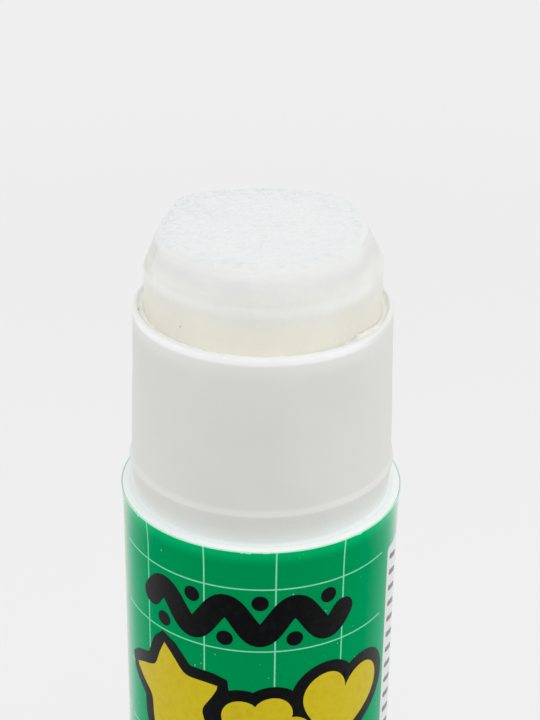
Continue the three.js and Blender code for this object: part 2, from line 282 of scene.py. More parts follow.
class Value:
    """A number, colour or normal in a node tree, which can be used in plain sums."""

    def __init__(self, tree: NodeTree, socket: bpy.types.NodeSocket) -> None:
        """Keeps the socket with the tree that it belongs to."""
        self.tree = tree
        self.socket = socket

    def __add__(self, other: Value | float) -> Value:
        """The sum of two values."""
        return self.tree.math("ADD", self, other)

    def __sub__(self, other: Value | float) -> Value:
        """This value less another."""
        return self.tree.math("SUBTRACT", self, other)

    def __rsub__(self, other: float) -> Value:
        """A plain number less this value."""
        return self.tree.math("SUBTRACT", other, self)

    def __mul__(self, other: Value | float) -> Value:
        """The product of two values."""
        return self.tree.math("MULTIPLY", self, other)

    def __mod__(self, other: float) -> Value:
        """What is left of this value over whole steps."""
        return self.tree.math("FLOORED_MODULO", self, other)

    def __gt__(self, other: float) -> Value:
        """A mask: 1 where this value is above a number, 0 elsewhere."""
        return self.tree.math("GREATER_THAN", self, other)

    def __lt__(self, other: float) -> Value:
        """A mask: 1 where this value is below a number, 0 elsewhere."""
        return self.tree.math("LESS_THAN", self, other)

    def __abs__(self) -> Value:
        """This value without its sign."""
        return self.tree.math("ABSOLUTE", self)


Input = Value | float | Sequence[float]


class NodeTree:
    """A node tree, with short calls that add nodes to it."""

    def __init__(self, tree: bpy.types.NodeTree) -> None:
        """Keeps the tree's nodes and links."""
        self.nodes = tree.nodes
        self.links = tree.links

    def out(self, node: bpy.types.Node, name: str | int = 0) -> Value:
        """One of a node's outputs."""
        return Value(self, node.outputs[name])

    def plug(self, value: Input, target: bpy.types.NodeSocket) -> None:
        """Feeds a node's input.

        Args:
            value: what it takes: another node's output, or a plain number, colour or place.
            target: the input.
        """
        if isinstance(value, Value):
            self.links.new(value.socket, target)
        else:
            target.default_value = value

    def add(self, kind: str, inputs: dict[str | int, Input] | None = None, **settings: str) -> bpy.types.Node:
        """Adds a node.

        Args:
            kind: the node's type.
            inputs: what its inputs take, by name or number.
            settings: its own properties.

        Returns:
            The node.
        """
        node = self.nodes.new(kind)
        for name, setting in settings.items():
            setattr(node, name, setting)
        for name, value in (inputs or {}).items():
            self.plug(value, node.inputs[name])
        return node

    def math(self, operation: str, *values: Value | float) -> Value:
        """Adds a Math node and gives its result."""
        return self.out(self.add("ShaderNodeMath", dict(enumerate(values)), operation=operation))

    def vector(self, operation: str, inputs: dict[str | int, Input], result: str | int = 0) -> Value:
        """Adds a Vector Math node and gives one of its results."""
        return self.out(self.add("ShaderNodeVectorMath", inputs, operation=operation), result)

    def largest(self, *values: Value | float) -> Value:
        """The largest of some values."""
        return reduce(lambda a, b: self.math("MAXIMUM", a, b), values)

    def smallest(self, *values: Value | float) -> Value:
        """The smallest of some values."""
        return reduce(lambda a, b: self.math("MINIMUM", a, b), values)

    def seen(self) -> Value:
        """Tells the rays that show the background from those that only light the scene.

        Returns:
            1 for camera, glossy and transmission rays, 0 for the others.
        """
        path = self.add("ShaderNodeLightPath")
        rays = ("Is Camera Ray", "Is Glossy Ray", "Is Transmission Ray")
        return self.largest(*(self.out(path, ray) for ray in rays))

    def blend(self, share: Value, first: bpy.types.Node, second: bpy.types.Node, output: str) -> None:
        """Sends a blend of two shaders to the tree's output.

        Args:
            share: how much of the second, 0 to 1.
            first: the shader at 0.
            second: the shader at 1.
            output: the name of the output node.
        """
        mixed = self.add("ShaderNodeMixShader", {0: share, 1: self.out(first), 2: self.out(second)})
        self.plug(self.out(mixed), self.nodes[output].inputs["Surface"])


class Surface(NodeTree):
    """A new material with one Principled shader."""

    def __init__(self, name: str) -> None:
        """Starts the material with coordinates in millimetres of the stick's frame.

        Args:
            name: the material's name.
        """
        self.material = bpy.data.materials.new(name)
        self.material.use_nodes = True
        super().__init__(self.material.node_tree)
        self.shader = self.nodes["Principled BSDF"]
        metres = self.out(self.add("ShaderNodeTexCoord"), "Object")
        self.place = self.vector("SCALE", {0: metres, "Scale": 1 / MM})
        split = self.add("ShaderNodeSeparateXYZ", {0: self.place})
        self.x, self.y, self.z = (self.out(split, axis) for axis in range(3))

    def shade(self, **values: Input) -> None:
        """Sets or feeds the shader's inputs, named with _ for a space."""
        for name, value in values.items():
            self.plug(value, self.shader.inputs[name.replace("_", " ")])

    def stretch(self, x: float, y: float, z: float) -> Value:
        """The place multiplied along each axis, for noise that is longer one way."""
        return self.vector("MULTIPLY", {0: self.place, 1: (x, y, z)})

    def away_from(self, place: Sequence[float]) -> Value:
        """The distance from a place in millimetres."""
        return self.vector("DISTANCE", {0: self.place, 1: place}, "Value")

    def noise(self, size: float, detail: float = 2, where: Value | None = None) -> Value:
        """Adds noise.

        Args:
            size: width of its features in millimetres.
            detail: how many finer layers lie on it.
            where: the place to read, or None for the plain one.

        Returns:
            Values between 0 and 1.
        """
        inputs = {"Scale": 1 / size, "Detail": detail, "Vector": where or self.place}
        return self.out(self.add("ShaderNodeTexNoise", inputs), "Fac")

    def stored(self, name: str) -> Value:
        """The value that the mesh stores under a name."""
        return self.out(self.add("ShaderNodeAttribute", attribute_name=name), "Fac")

    def ramp(self, value: Value, low: float, high: float) -> Value:
        """Eases from 0 at low to 1 at high.

        Args:
            value: the value to place.
            low: where the result leaves 0.
            high: where the result reaches 1; it may lie below low.

        Returns:
            The eased share.
        """
        if low > high:
            return 1.0 - self.ramp(value, high, low)
        inputs = {"Value": value, "From Min": low, "From Max": high}
        return self.out(self.add("ShaderNodeMapRange", inputs, interpolation_type="SMOOTHSTEP"))

    def mix(self, share: Value, first: Value | Colour, second: Value | Colour) -> Value:
        """Mixes two colours.

        Args:
            share: how much of the second, 0 to 1.
            first: the colour at 0.
            second: the colour at 1.

        Returns:
            The mixed colour.
        """
        return self.out(self.add("ShaderNodeMix", {0: share, 6: first, 7: second}, data_type="RGBA"), 2)

    def specked(self, colour: Value, specks: Sequence[Speck]) -> Value:
        """Lays specks of dirt on a colour.

        Args:
            colour: the clean colour.
            specks: where the dirt lies.

        Returns:
            The colour with the specks on it.
        """
        for speck in specks:
            away = self.away_from(around(speck.azimuth, speck.radius, speck.z) / MM)
            away = away + self.noise(0.15, 1) * speck.size
            colour = self.mix(self.ramp(away, speck.size * 1.6, speck.size * 1.1), colour, DIRT)
        return colour

    def bump(self, height: Value, depth: float, under: Value | None = None) -> Value:
        """Adds fine relief.

        Args:
            height: the relief, 0 to 1.
            depth: its full height in millimetres.
            under: a normal that it lies on.

        Returns:
            The normal.
        """
        inputs = {"Distance": depth * MM, "Height": height}
        if under:
            inputs["Normal"] = under
        return self.out(self.add("ShaderNodeBump", inputs))


class Axis(Enum):
    """The ways in which a tint can come on."""

    ACROSS = "from left to right"
    UP = "upwards"


@dataclass(frozen=True)
class Tint:
    """A colour that a surface takes on along an axis: where it starts and where it is full."""

    colour: Colour
    start: float
    full: float
    axis: Axis = Axis.UP


@dataclass(frozen=True)
class Speck:
    """A speck of dirt: where it lies and how large it is."""

    azimuth: float
    radius: float
    z: float
    size: float


@dataclass(frozen=True)
class Finish:
    """What all finishes of the stick have: a name, and a way to paint a surface."""

    name: str

    def paint(self, s: Surface) -> None:
        """Gives a surface its colour, gloss and relief."""
        raise NotImplementedError

    def material(self) -> bpy.types.Material:
        """Makes a new material with this finish.

        Returns:
            The material.
        """
        s = Surface(self.name)
        self.paint(s)
        return s.material


@dataclass(frozen=True)
class MouldedPlastic(Finish):
    """A matte or satin moulded plastic, a little uneven in tone, with fine moulding grain."""

    colour: Colour
    shade: Colour
    roughness: float = 0.5
    glow: float = 0.12
    grain_size: float = 0.35
    grain_depth: float = 0.012
    tints: tuple[Tint, ...] = ()
    specks: tuple[Speck, ...] = ()

    def paint(self, s: Surface) -> None:
        """Clouds and tints the colour, and lays upright streaks and grain over it.

        Args:
            s: the surface.
        """
        colour = s.mix(s.ramp(s.noise(9.0, 3), 0.35, 0.7), self.colour, self.shade)
        for tint in self.tints:
            place = s.x if tint.axis is Axis.ACROSS else s.z
            colour = s.mix(s.ramp(place, tint.start, tint.full), colour, tint.colour)
        streaks = s.noise(1.2, 2, s.stretch(1, 1, 0.12))
        fine = s.bump(s.noise(self.grain_size), self.grain_depth)
        s.shade(
            Base_Color=s.specked(colour, self.specks),
            Roughness=streaks * 0.1 + (self.roughness - 0.05),
            Normal=s.bump(streaks, self.grain_depth * 1.5, fine),
            Subsurface_Weight=self.glow,
            Subsurface_Radius=(1.0, 1.0, 0.95),
            Subsurface_Scale=1.2 * MM,
        )


@dataclass(frozen=True)
class WaxyGlue(Finish):
    """Solid glue: bluish white and dry where it is rubbed, cream and waxy down its side."""

    ridge_z: float
    top_z: float
    rubbed: Colour = srgb(217, 219, 219)
    # Painted shade: the creases of the rubbed top and the torn edge of its skin.
    crease_shade: Colour = srgb(196, 201, 206)
    # Painted shade: darker tones for a band below the rubbed top, the shoulder tone at the front.
    worn: Colour = srgb(214, 215, 214)
    shoulder: Colour = srgb(222, 222, 223)
    side: Colour = srgb(233, 234, 230)
    # Painted highlight along the ridge.
    painted_ridge_highlight: Colour = srgb(240, 241, 238)
    # Cream low down, painted lighter to offset the shade near the lip.
    deep: Colour = srgb(241, 239, 226)
    # Painted shade at the sides low down and at the two outer corners.
    painted_shade: Colour = srgb(196, 195, 188)
    mottle: Colour = srgb(190, 192, 180)
    specks: tuple[Speck, ...] = ()

    def painted_shade_share(self, s: Surface) -> Value:
        """How much painted shade darkens the glue: a little at both sides low down, more at the two outer
        corners.

        Args:
            s: the surface.

        Returns:
            The share of the painted shade colour.
        """
        ridge, top = self.ridge_z, self.top_z
        sides = s.ramp(abs(s.x), 5.5, 9.5) * s.ramp(s.z, ridge + 0.3, ridge - 1.5) * 0.15
        corner = s.ramp(s.x, -10.7, -11.8) * s.ramp(s.z, ridge - 0.5, ridge + 0.8) * 0.45
        bulge = s.ramp(s.x, 10.3, 11.4) * s.ramp(s.z, top - 1.4, top - 2.6) * 0.26
        return sides + corner + bulge * s.ramp(s.z, ridge - 1.5, ridge + 0.3)

    def colour(self, s: Surface) -> Value:
        """The glue's colour: cream low down, with a painted highlight at the ridge, bluish white on top, and
        painted shade below the top, in the creases and at the sides.

        Args:
            s: the surface.

        Returns:
            The colour.
        """
        ridge, top = self.ridge_z, self.top_z
        height = s.z + (s.noise(5.0) * 1.6 - 0.8)
        # Cream low down is the glue's own tone; it is painted lighter there to offset the shade near the lip.
        side = s.mix(s.ramp(height, ridge - 3.0, ridge - 0.2), self.deep, self.side)
        # Painted highlight: a lighter band along the ridge.
        near_ridge = abs(s.z - (ridge - 0.15) + (s.noise(4.0) * 0.5 - 0.25))
        side = s.mix(s.ramp(near_ridge, 1.0, 0.1) * 0.85, side, self.painted_ridge_highlight)
        # Painted shade: a darker band below the rubbed top, in a lighter tone at the front.
        upper = s.mix(s.ramp(s.y, -8.5, -11.4), self.worn, self.shoulder)
        colour = s.mix(s.ramp(height, top - 3.4, top - 1.1), side, upper)
        colour = s.mix(s.ramp(s.z, top - 1.1, top - 0.5), colour, self.worn)
        colour = s.mix(s.ramp(s.z, top - 0.3, top - 0.05), colour, self.rubbed)
        colour = s.mix(s.ramp(s.noise(2.2, 3), 0.3, 0.8) * 0.045, colour, self.mottle)
        # Painted shade: darker at the sides low down and at the two outer corners.
        colour = s.mix(self.painted_shade_share(s), colour, self.painted_shade)
        # Painted shade: the folds' creases and the torn skin edge are painted bluish grey, more towards the
        # outside and the back.
        outer = s.ramp(s.math("SQRT", s.x * s.x + s.y * s.y), 6.0, 9.5)
        outer = outer * (s.ramp(s.y, -6.0, 3.0) * 0.8 + 0.2)
        return s.mix(s.stored("crease_shade") * (outer * 0.28 + 0.17), colour, self.crease_shade)

    def paint(self, s: Surface) -> None:
        """Colours the glue, and makes it dry on top and waxy, with a deep glow, at the side.

        Args:
            s: the surface.
        """
        dry = s.ramp(s.z, self.top_z - 0.6, self.top_z - 0.1)
        held = s.ramp(s.z, self.ridge_z - 1.5, self.ridge_z - 4.5)
        fine = s.bump(s.noise(0.28, 3, s.stretch(0.6, 1.3, 1)), 0.03)
        s.shade(
            Base_Color=s.specked(self.colour(s), self.specks),
            Roughness=dry * 0.22 + 0.42,
            Normal=s.bump(s.noise(0.9, 2, s.stretch(0.4, 1.2, 1)), 0.04, fine),
            Subsurface_Weight=0.75 - s.largest(dry * 0.72, held * 0.6),
            Subsurface_Radius=(1.0, 0.97, 0.85),
            Subsurface_Scale=5 * MM,
        )


@dataclass(frozen=True)
class GridPanel:
    """A field of the printed film that carries the pale grid."""

    first: float
    last: float
    line: float
    full_turn: bool = False


@dataclass(frozen=True)
class GreenFilm(Finish):
    """The thin satin film, printed green with a pale grid and a bare white side panel."""

    radius: float
    rim_z: float
    top_z: float
    panels: tuple[GridPanel, ...]
    green: Colour = srgb(0, 143, 77)
    lit_green: Colour = srgb(0, 178, 103)
    cloud_green: Colour = srgb(0, 128, 70)
    line_colour: Colour = srgb(148, 226, 194)
    panel_colour: Colour = srgb(220, 223, 221)
    front_end: Colour = srgb(204, 242, 216)
    # Painted reflection for the film's bare end where it is seen edge-on.
    grazing_end_sheen: Colour = srgb(212, 226, 222)
    dust: Colour = srgb(190, 226, 206)
    gloss_tint: Colour = srgb(0, 60, 45)
    sheen: Colour = srgb(0, 222, 192)
    edge_sheen: Colour = srgb(212, 213, 213)
    sheen_weight: float = 0.85
    pitch_angle: float = 29.0
    pitch_z: float = 7.73
    first_line: float = 4.72
    last_line: float = 66.6
    line_width: float = 0.16
    line_edge: float = 0.03
    white_first: float = 65.6
    white_last: float = 150.0
    white_top: float = 5.2
    white_foot: float = 70.0
    white_cut: float = 0.3

    @property
    def degree(self) -> float:
        """Millimetres round the film in one degree."""
        return math.radians(1) * self.radius

    def stripes(self, s: Surface, place: Value, first: float, pitch: float, unit_size: float) -> Value:
        """A mask of evenly spaced lines.

        Args:
            s: the surface.
            place: the angle or the depth that the lines are counted along.
            first: where one of the lines lies.
            pitch: how far they stand apart.
            unit_size: millimetres to one unit of place.

        Returns:
            1 on the lines, 0 elsewhere.
        """
        turns = place * (1 / pitch) + (0.5 - first / pitch)
        off = abs(turns % 1.0 - 0.5) * (pitch * unit_size)
        half = self.line_width / 2
        return s.ramp(off, half + self.line_edge, half - self.line_edge)

    def grid(self, s: Surface, azimuth: Value, depth: Value, panel: GridPanel) -> Value:
        """The mask of one grid field.

        Args:
            s: the surface.
            azimuth: the angle round the film.
            depth: the distance below the rim.
            panel: the field.

        Returns:
            1 on its lines, 0 elsewhere.
        """
        reach = self.line_width / 2 + self.line_edge
        upright = self.stripes(s, azimuth, panel.line, self.pitch_angle, self.degree)
        upright = upright * (depth < self.last_line)
        level = self.stripes(s, depth, self.first_line, self.pitch_z, 1.0)
        level = level * (depth > self.first_line - reach) * (depth < self.last_line + reach)
        return s.largest(upright, level) * (azimuth > panel.first) * (azimuth < panel.last)

    def white_panel(self, s: Surface, azimuth: Value, depth: Value) -> Value:
        """The mask of the bare white panel, whose upper corners are cut off.

        Args:
            s: the surface.
            azimuth: the angle round the film.
            depth: the distance below the rim.

        Returns:
            1 on the panel, 0 elsewhere.
        """
        across = azimuth * self.degree
        side = s.smallest(across - self.white_first * self.degree, self.white_last * self.degree - across)
        below = depth - self.white_top
        inside = s.smallest(side, side + below - self.white_cut, below, self.white_foot - depth)
        return s.ramp(inside, -self.line_edge, self.line_edge)

    def fray(self, s: Surface) -> Value:
        """How bare of ink the film's upper end is: its very edge, and ragged patches below it.

        Args:
            s: the surface.

        Returns:
            1 where the ink is gone, 0 where it is whole.
        """
        below = self.top_z - s.z
        patches = s.ramp(s.noise(4.0), 0.4, 0.6) * 0.4 - s.noise(0.5, 3) * 0.6
        return s.largest(s.ramp(below - patches, 0.05, -0.05), s.ramp(below, 0.08, 0.02))

    def paint(self, s: Surface) -> None:
        """Prints the film and gives it a gloss and a sheen that grow towards its outline.

        Args:
            s: the surface.
        """
        azimuth = s.math("ARCTAN2", s.x, s.y * -1.0) * math.degrees(1)
        full = azimuth % 360.0
        depth = self.rim_z - s.z
        green = s.mix(s.ramp(depth, 2.0, 0.2), self.green, self.lit_green)
        green = s.mix(s.ramp(s.noise(1.6, 3), 0.35, 0.75) * 0.05, green, self.cloud_green)
        lines = s.largest(*(self.grid(s, full if p.full_turn else azimuth, depth, p) for p in self.panels))
        colour = s.mix(lines * (s.noise(0.25) * 0.5 + 0.62), green, self.line_colour)
        bare = self.white_panel(s, azimuth, depth)
        colour = s.mix(bare, colour, self.panel_colour)
        # Painted reflection: the film's bare upper end is pale green at the front and painted paler grey
        # towards the sides and back, where it is seen edge-on.
        end = s.mix(s.ramp(s.y, -7.0, -2.0), self.front_end, self.grazing_end_sheen)
        colour = s.mix(self.fray(s) * 0.85, colour, end)
        colour = s.mix(s.ramp(s.noise(0.3, 0), 0.855, 0.885) * 0.6, colour, self.dust)
        scuffs = s.ramp(s.noise(3.0, 4, s.stretch(1, 1, 0.35)), 0.45, 0.8)
        grazing = s.out(s.add("ShaderNodeLayerWeight"), "Facing")
        gentle, strong = s.largest(grazing * 0.5 - 0.25, 0.0), s.largest(grazing * 2.0 - 1.45, 0.0)
        s.shade(
            Base_Color=colour,
            Roughness=scuffs * 0.1 + 0.16,
            Normal=s.bump(s.noise(2.4), 0.02),
            Specular_IOR_Level=gentle + strong,
            Specular_Tint=self.gloss_tint,
            Sheen_Weight=self.sheen_weight - bare * self.sheen_weight,
            Sheen_Roughness=0.4,
            Sheen_Tint=s.mix(s.ramp(grazing, 0.64, 0.95), self.sheen, self.edge_sheen),
        )


@dataclass(frozen=True)
class Ink(Finish):
    """A flat printing ink on the film, with a little unevenness in its cover and gloss."""

    colour: Colour
    worn: Colour
    roughness: float = 0.28

    def paint(self, s: Surface) -> None:
        """Lays the ink on.

        Args:
            s: the surface.
        """
        s.shade(
            Base_Color=s.mix(s.ramp(s.noise(0.8, 3), 0.4, 0.9), self.colour, self.worn),
            Roughness=s.noise(2.5, 3) * 0.12 + (self.roughness - 0.06),
            Specular_IOR_Level=0.2,
            Specular_Tint=(0.0, 0.0, 0.0, 1.0),
        )


KNOB_WHITE = MouldedPlastic("knob_white", srgb(233, 233, 230), srgb(228, 228, 224), roughness=0.46)


def dressed(piece: Object, finish: Finish) -> Object:
    """Gives a piece one finish in place of any that it has.

    Args:
        piece: the piece.
        finish: its finish.

    Returns:
        The same piece.
    """
    piece.data.materials.clear()
    piece.data.materials.append(finish.material())
    return piece


class Shape(Enum):
    """The plain cut-paper shapes of the print."""

    STAR = "star"
    FLOWER = "flower"
    HEART = "heart"
    DISC = "disc"

    def corner(self, angle: float) -> complex:
        """A point on the outline of the shape at its unit size.

        Args:
            angle: how far round the shape the point is, in radians.

        Returns:
            The point, from the shape's middle.
        """
        if self is Shape.HEART:
            waves = ((13, 1), (-5, 2), (-2, 3), (-1, 4))
            up = sum(height * math.cos(turns * angle) for height, turns in waves)
            return complex(-0.95 * math.sin(angle) ** 3, up / 15)
        reach = {
            Shape.STAR: 1 - 0.4 * abs(math.sin(2.5 * angle)) ** 0.9,
            Shape.FLOWER: 0.76 + 0.24 * abs(math.cos(3 * angle)) ** 0.8,
            Shape.DISC: 0.9,
        }[self]
        return cmath.rect(reach, angle)

    def outline(self, size: float, turn: float = 0.0) -> Drawing:
        """Draws the shape round its middle.

        Args:
            size: half of its width.
            turn: how far it is turned, in degrees.

        Returns:
            Its corners, anticlockwise.
        """
        spin = cmath.rect(size, math.radians(turn))
        return [self.corner(angle) * spin for angle in evenly(0, 2 * math.pi, 96)[:-1]]


@dataclass(frozen=True)
class Stamp:
    """One printed shape: what it is, where its middle stands and how it is turned."""

    shape: Shape
    azimuth: float
    depth: float
    size: float
    turn: float

    def outline(self, border: float) -> Drawing:
        """The stamp's outline round its own middle, with a border round it."""
        return grown(self.shape.outline(self.size, self.turn), border)


def grown(outline: Drawing, by: float) -> Drawing:
    """Moves an anticlockwise outline outwards.

    Args:
        outline: the corners.
        by: how far to move them.

    Returns:
        The larger outline.
    """
    after = outline[1:] + outline[:1]
    return [here - 1j * unit(after[i] - outline[i - 1]) * by for i, here in enumerate(outline)]


def band(line: Drawing, width: float) -> Drawing:
    """Draws a band of even width with round ends along a line.

    Args:
        line: the middle line's points.
        width: the band's width.

    Returns:
        The band's corners, anticlockwise.
    """
    before, after = line[:1] + line[:-1], line[1:] + line[-1:]
    right = [here - 1j * unit(b - a) * width / 2 for a, here, b in zip(before, line, after)]
    left = [2 * here - there for here, there in zip(line, right)]
    turns = [cmath.rect(1, angle) for angle in evenly(0, math.pi, 9)[1:-1]]
    head = [line[-1] + (right[-1] - line[-1]) * turn for turn in turns]
    foot = [line[0] + (left[0] - line[0]) * turn for turn in turns]
    return right + head + left[::-1] + foot


@dataclass
class PrintedShapes:
    """The shapes printed on the film, as thin layers of ink wrapped round it.

    A drawing lies on the unrolled film: its real part runs round the film from the front, and its
    imaginary part is the height from the rim.
    """

    radius: float
    rim_z: float
    border: float = 1.45
    lift: float = 0.012
    under: float = 0.004
    slice_width: float = 0.5
    step: float = 0.0015
    squiggle_from: float = -12.9
    squiggle_to: float = 9.3
    squiggle_depth: float = 8.7
    squiggle_wave: float = 7.4
    squiggle_rise: float = 1.8
    squiggle_width: float = 2.7
    dot_size: float = 1.0
    stitch_pitch: float = 2.05
    stitch_from: float = 7.0
    stitch_count: int = 30
    stitch_azimuth: float = 73.0
    stitch_reach: complex = 0.95 - 0.3j
    stitch_width: float = 0.62
    stamps: tuple[Stamp, ...] = (
        Stamp(Shape.STAR, -38, 20.4, 6.4, 100),
        Stamp(Shape.FLOWER, 1, 23.8, 5.6, 8),
        Stamp(Shape.HEART, 37, 21.0, 5.4, -10),
        Stamp(Shape.DISC, -41, 37.0, 4.0, 0),
        Stamp(Shape.STAR, 12, 39.4, 5.2, 80),
        Stamp(Shape.HEART, -18, 51.4, 4.8, 12),
        Stamp(Shape.FLOWER, 190, 20.4, 5.0, 0),
        Stamp(Shape.STAR, 228, 22.6, 5.2, 92),
        Stamp(Shape.DISC, 252, 38.5, 4.2, 0),
    )

    def spot(self, azimuth: float, depth: float) -> complex:
        """The place on the unrolled film at an angle and a distance below the rim."""
        return complex(math.radians(azimuth) * self.radius, -depth)

    def wave(self, across: float) -> complex:
        """The place on the squiggle's middle line that lies this far round the film."""
        phase = 2 * math.pi * (across - self.squiggle_from) / self.squiggle_wave
        return complex(across, self.squiggle_rise * math.sin(phase) - self.squiggle_depth)

    def squiggle(self) -> list[Drawing]:
        """Draws the black glue squiggle with a dot in each of its hollows.

        Returns:
            The squiggle's band and its dots.
        """
        line = [self.wave(across) for across in evenly(self.squiggle_from, self.squiggle_to, 90)]
        shapes = [band(line, self.squiggle_width)]
        quarter = self.squiggle_wave / 4
        for hollow in rising(self.squiggle_from + quarter, self.squiggle_to, 2 * quarter):
            side = 1 if self.wave(hollow).imag < -self.squiggle_depth else -1
            middle = complex(hollow, side * (self.squiggle_rise + self.dot_size * 0.5) - self.squiggle_depth)
            shapes.append([middle + corner for corner in Shape.DISC.outline(self.dot_size)])
        return shapes

    def stitches(self) -> list[Drawing]:
        """Draws the grey stitches on the white panel: short slanted dashes, one below another.

        Returns:
            The dashes.
        """
        dashes: list[Drawing] = []
        for i in range(self.stitch_count):
            middle = self.spot(self.stitch_azimuth, self.stitch_from + i * self.stitch_pitch)
            dash = [middle - self.stitch_reach, middle, middle + self.stitch_reach]
            dashes.append(band(dash, self.stitch_width))
        return dashes

    def stamped(self, border: float) -> list[Drawing]:
        """The outlines of all stamps, each with a border round it."""
        return [[self.spot(p.azimuth, p.depth) + corner for corner in p.outline(border)] for p in self.stamps]

    def wrapped(self, name: str, drawings: Sequence[Drawing], lift: float) -> Object:
        """Wraps flat shapes round the film as one thin closed layer each.

        Args:
            name: the piece's name.
            drawings: the shapes on the unrolled film.
            lift: how far the ink's face stands off the film.

        Returns:
            The piece.
        """
        bm = bmesh.new()
        for i, drawing in enumerate(drawings):
            bm.faces.new([bm.verts.new((corner.real, corner.imag, i * self.step)) for corner in drawing])
        low, high = (end(vert.co.x for vert in bm.verts) for end in (min, max))
        for i in range(1, int((high - low) / self.slice_width) + 1):
            geom = bm.verts[:] + bm.edges[:] + bm.faces[:]
            place = (low + i * self.slice_width, 0, 0)
            bmesh.ops.bisect_plane(bm, geom=geom, plane_co=place, plane_no=(1, 0, 0))
        bmesh.ops.triangulate(bm, faces=bm.faces[:])
        raised = bmesh.ops.extrude_face_region(bm, geom=bm.faces[:])
        top = {v for v in raised["geom"] if isinstance(v, bmesh.types.BMVert)}
        for vert in bm.verts:
            radius = self.radius + (lift + vert.co.z if vert in top else -self.under)
            azimuth = math.degrees(vert.co.x / self.radius)
            vert.co = around(azimuth, radius, self.rim_z + vert.co.y)
        bmesh.ops.recalc_face_normals(bm, faces=bm.faces[:])
        mesh = bpy.data.meshes.new(name)
        bm.to_mesh(mesh)
        bm.free()
        return shaded(name, mesh)

    def build(self) -> list[Object]:
        """Makes the inks.

        Returns:
            The black, yellow and grey layers.
        """
        black = Ink("black_ink", srgb(12, 13, 14), srgb(22, 23, 24))
        yellow = Ink("yellow_ink", srgb(206, 186, 32), srgb(196, 172, 26))
        grey = Ink("grey_ink", srgb(108, 108, 114), srgb(132, 132, 138))
        outlines = self.squiggle() + self.stamped(self.border)
        return [
            dressed(self.wrapped("print_black", outlines, self.lift), black),
            dressed(self.wrapped("print_yellow", self.stamped(0), self.lift * 3), yellow),
            dressed(self.wrapped("print_marks", self.stitches(), self.lift), grey),
        ]


